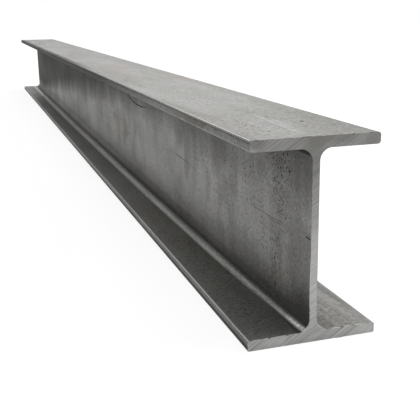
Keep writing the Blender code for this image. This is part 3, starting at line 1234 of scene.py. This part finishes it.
def makeMillFace():
    material, shader, place = newMaterial("millFace")
    _, y, z = splitPlace(place)
    onWeb = times(ramp(sums("ABSOLUTE", y), 0.013, 0.006), ramp(z, 0.010, 0.016), ramp(z, 0.1440, 0.1400))
    clouds = cloudsOver(place, (6.0, 22.0, 18.0), 5.0, 0.28, 0.74)
    blotch = cloudsOver(place, (60.0, 110.0, 110.0), 4.0, 0.44, 0.70)
    drawn = cloudsOver(place, (4.0, 170.0, 12.0), 3.0, 0.40, 0.66)
    streak = useGroup("downStreak", place, Broad=42.0, Fine=150.0, Length=11.0)
    filmAndShade = useGroup("channelShadeAndHighlight", place)
    grain = useGroup("fineGrain", place, Grain=850.0, Lines=520.0)
    wear = useGroup("edgeWearAndLight", place, Reach=0.0014, Breaks=70.0)
    crowd = 0.07
    for centre, reach, dense in pitZones:
        crowd = addUp(crowd, (patch(place, centre, reach, 0.9, 60.0), dense))
    specks = useGroup("pitSpeck", place, Rate=430.0, Size=0.30, Density=crowd)
    smallSpecks = useGroup("pitSpeck", place, Rate=800.0, Size=0.36, Density=0.16)
    # painted glints beside the pits, where their rims would catch the light
    pitGlints = useGroup("pitSpeck", place, Rate=560.0, Size=0.26, Density=times(crowd, 0.55))
    tooth = ramp(noiseOf(place, 330.0, 5.0, 0.72), 0.34, 0.66)
    onFlats = plus(ramp(z, 0.150, 0.152, 0.0, 0.14), times(ramp(z, 0.012, 0.009), ramp(y, 0.004, 0.010, 0.10, 0.34)))
    broad = times(onWeb, minus(1.0, streak["Mask"]))
    light = times(onWeb, streak["Fine Mask"])

    colour = mixColour(clouds, metal["bare"], metal["pale"])
    colour = paint(colour, (drawn, onFlats, "dull"), (blotch, 0.20, "dull"), (broad, 0.50, "dull"),
                   (light, 0.36, "pale"))
    colour = paintStainsAndLight(colour, place, stainsAndLight)
    # painted shade in the channels, painted shadow and shade in the corners and far along the beam, the painted
    # highlight along the root, dark pit specks and painted glints beside them
    colour = paint(colour, (filmAndShade["Painted Shade"], None, "filmAndShade"), (filmAndShade["Deep Shade"], None, "sootAndShade"),
                   (filmAndShade["Root Highlight"], None, "rubbedSheen"), (specks["Mask"], 0.80, "sootAndShade"),
                   (smallSpecks["Mask"], 0.40, "oxide"), (pitGlints["Mask"], 0.45, "bright"))
    colour = mixColour(1.0, colour, brightness(tooth, 0.76, 1.20), "MULTIPLY")
    lines = []
    for start, end, width, tint in fineLines:
        lines.append(useGroup("lineMark", place, From=backFrom(*start), To=backFrom(*end), Width=width * mm,
                              Breaks=150.0)["Mask"])
        colour = paint(colour, (lines[-1], 0.6, tint))
    # worn flange edges with painted highlights, painted shade in the rolled hollows and the lip's bites, and painted
    # highlights on the ridges between them
    colour = paint(colour, (wear["Hollow Shade"], 0.62, "filmAndShade"), (wear["Lower"], 0.55, "bright"),
                   (wear["Upper"], None, "rubbedSheen"), (wear["Ridge Highlight"], 0.50, "bright"),
                   (wear["Bite Shade"], 0.45, "filmAndShade"), (grain["Mask"], 0.10, "dull"))
    plug(shader["Base Color"], colour)

    soil = most(specks["Mask"], wear["Hollow Shade"])
    plug(shader["Roughness"], addUp(0.52, (clouds, -0.06), (broad, 0.08), (grain["Mask"], 0.08), (soil, 0.25),
                                    (filmAndShade["Root Highlight"], -0.14), (filmAndShade["Painted Shade"], 0.10), (wear["Upper"], -0.16),
                                    clamp=True))
    plug(shader["Metallic"], addUp(0.5, (soil, -0.4), (filmAndShade["Root Highlight"], 0.45), (filmAndShade["Deep Shade"], -0.5),
                                   (filmAndShade["Painted Shade"], -0.45), clamp=True))
    plug(shader["Specular IOR Level"], 0.16)
    wave = noiseOf(place, 160.0, 3.0, stretch=(1.0, 1.6, 1.6))
    height = addUp(times(wave, 0.30), (grain["Height"], 0.10), (tooth, 0.16), (filmAndShade["Swell"], 6.0),
                   (filmAndShade["Root Highlight"], 0.5), (specks["Height"], 0.55), (smallSpecks["Height"], 0.16),
                   (most(*lines), -0.15))
    addBump(shader, height, 0.35 * mm, 0.6)
    return material


def makeSawnFace():
    material, shader, place = newMaterial("sawnFace")
    sweep = useGroup("sawSweep", place, Rate=1350.0, Length=14.0)
    clouds = cloudsOver(place, (10.0, 40.0, 40.0), 4.0)
    grain = useGroup("fineGrain", place, Grain=1400.0, Lines=600.0)
    specks = useGroup("pitSpeck", place, Rate=520.0, Size=0.25, Density=0.06)
    colour = paint(metal["sawn"], (clouds, 0.5, "pale"), (sweep["Coarse"], 0.48, "dull"),
                   (ramp(sweep["Mask"], 0.45, 0.05), 0.68, "dull"), (sweep["Mask"], 0.30, "bright"))
    # stains, with painted shade high on the end and painted light low down
    colour = paintStainsAndLight(colour, place, sawnStainsAndLight)
    plug(shader["Base Color"], paint(colour, (specks["Mask"], 0.6, "oxide")))
    plug(shader["Roughness"], addUp(0.50, (sweep["Mask"], -0.12), (grain["Mask"], 0.10), clamp=True))
    plug(shader["Metallic"], addUp(0.55, (specks["Mask"], -0.3), clamp=True))
    addBump(shader, addUp(sweep["Height"], (grain["Height"], 0.08), (specks["Height"], 0.6)), 0.16 * mm, 0.7)
    return material


# the rubbed arris round the sawn ends, with a painted highlight along it that is strongest low on the web
def makeEndArris():
    material, shader, place = newMaterial("endArris")
    z = splitPlace(place)[2]
    onTop = ramp(z, section["depth"] - 0.8 * mm, section["depth"] - 0.3 * mm)
    lowOnWeb = times(ramp(z, 0.078, 0.050), 0.85)
    breaks = times(ramp(noiseOf(place, 120.0, 3.0, 0.6), 0.36, 0.56), most(onTop, lowOnWeb, 0.30))
    grain = useGroup("fineGrain", place, Grain=1600.0, Lines=800.0)
    colour = paint(metal["olive"], (breaks, ramp(z, 0.10, 0.14, 1.0, 0.25), "bright"), (grain["Mask"], 0.15, "dull"))
    plug(shader["Base Color"], colour)
    plug(shader["Roughness"], addUp(0.36, (grain["Mask"], 0.12)))
    plug(shader["Metallic"], addUp(0.45, (breaks, 0.3)))
    addBump(shader, grain["Height"], 0.08 * mm, 0.5)
    return material


def makePitInside():
    material, shader, place = newMaterial("pitInside")
    clouds = cloudsOver(place, (300.0, 300.0, 300.0))
    grain = useGroup("fineGrain", place, Grain=1800.0, Lines=900.0)
    plug(shader["Base Color"], paint(metal["sootAndShade"], (clouds, None, "filmAndShade"), (grain["Mask"], 0.4, "oxide")))
    plug(shader["Roughness"], addUp(0.70, (grain["Mask"], 0.15)))
    plug(shader["Metallic"], times(clouds, 0.12))
    plug(shader["Specular IOR Level"], 0.2)
    addBump(shader, grain["Height"], 0.1 * mm, 0.5)
    return material


def makeScoredMetal():
    material, shader, place = newMaterial("scoredMetal")
    clouds = cloudsOver(place, (160.0, 160.0, 160.0))
    grain = useGroup("fineGrain", place, Grain=1500.0, Lines=900.0)
    colour = mixColour(addUp(0.3, (clouds, 0.5)), metal["bare"], metal["dull"])
    plug(shader["Base Color"], paint(colour, (grain["Mask"], 0.2, "oxide")))
    plug(shader["Roughness"], addUp(0.42, (grain["Mask"], 0.15)))
    plug(shader["Metallic"], addUp(0.5, (clouds, -0.15)))
    addBump(shader, grain["Height"], 0.08 * mm, 0.5)
    return material


sharpAngle = math.radians(17)    # edges past this stay sharp in the shading

finishes = [makeMillFace(), makeSawnFace(), makePitInside(), makeScoredMetal(), makeEndArris()]
for finish in finishes:
    print("material:", finish.name)
millFace, sawnFace, pitInside, scoredMetal, endArris = finishes
for finish in (millFace, sawnFace, endArris):    # in the order of the beam's slots
    beam.data.materials.append(finish)

cutAway("pits", pitInside, scatterPits)
cutAway("dirtyScratches", pitInside, addGrooves, dirtyScratches)
cutAway("scratches", scoredMetal, addGrooves, scratches)
cutAway("lipNotches", scoredMetal, addNotches)
beam.data.shade_smooth()
beam.data.set_sharp_from_angle(angle=sharpAngle)
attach(beam, "root")
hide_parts("i_beam")


# light, floor and background

studio = dict(
    white=(1, 1, 1, 1),
    worldDiffuse=0.05,
    floorSize=16.0,
    floorDrop=-0.0002,
    floorGrey=(0.80, 0.80, 0.80, 1),
    floorShare=0.5,                     # how much of the lit floor and its shadow shows
    floorFade=(0.5, 2.4, 0.89, 1.02),   # from and to distance, and the backdrop's white added there
    lights=dict(                        # place, aim, size and power
        keyLight=((0.4, 1.9, 1.7), (0.1, 0.0, 0.08), (2.6, 1.6), 30.0),
        topLight=((0.0, 0.2, 2.0), (0.0, 0.0, 0.0), (3.0, 1.2), 12.0),
    ),
)


# rays that see the backdrop's white
def backgroundRays():
    path = addNode("LightPath", {}).outputs
    return most(path["Is Camera Ray"], path["Is Glossy Ray"], path["Is Transmission Ray"])


def mixShader(share, first, second):
    return addNode("MixShader", {0: share, 1: first, 2: second}).outputs[0]


def makeWorld():
    world = bpy.data.worlds.new("paleRoom")
    world.use_nodes = True
    openTree(world.node_tree)
    tree.nodes.clear()
    lit = addNode("Background", dict(Color=studio["white"], Strength=studio["worldDiffuse"])).outputs[0]
    seen = addNode("Background", dict(Color=studio["white"], Strength=1.0)).outputs[0]
    plug(addNode("OutputWorld", {}).inputs[0], mixShader(backgroundRays(), lit, seen))
    bpy.context.scene.world = world


def makeFloor():
    bpy.ops.mesh.primitive_plane_add(size=studio["floorSize"], location=(0, 0, studio["floorDrop"]))
    floor = bpy.context.object
    floor.name = "floor"
    material = bpy.data.materials.new("paleFloor")
    material.use_nodes = True
    openTree(material.node_tree)
    tree.nodes.clear()
    lit = addNode("BsdfDiffuse", dict(Color=studio["floorGrey"])).outputs[0]
    # the floor turns to the backdrop's white with distance, so no horizon shows
    away = vectorSums("LENGTH", addNode("TexCoord", {}).outputs["Object"])
    white = addNode("Emission", dict(Color=studio["white"], Strength=ramp(away, *studio["floorFade"]))).outputs[0]
    # camera, glossy and transmission rays see the white with a part of the lit floor over it
    part = mixShader(studio["floorShare"], addNode("Emission", dict(Strength=0.0)).outputs[0], lit)
    seen = addNode("AddShader", {0: part, 1: white}).outputs[0]
    plug(addNode("OutputMaterial", {}).inputs[0], mixShader(backgroundRays(), lit, seen))
    floor.data.materials.append(material)


def addLight(name, place, aim, size, power):
    data = bpy.data.lights.new(name, "AREA")
    data.shape = "RECTANGLE"
    data.size, data.size_y = size
    data.energy = power
    obj = addObject(name, data)
    obj.location = place
    obj.rotation_euler = (Vector(aim) - Vector(place)).to_track_quat("-Z", "Y").to_euler()


makeWorld()
makeFloor()
for name, values in studio["lights"].items():
    addLight(name, *values)
bpy.context.scene.view_settings.view_transform = "Standard"
print("studio ready")
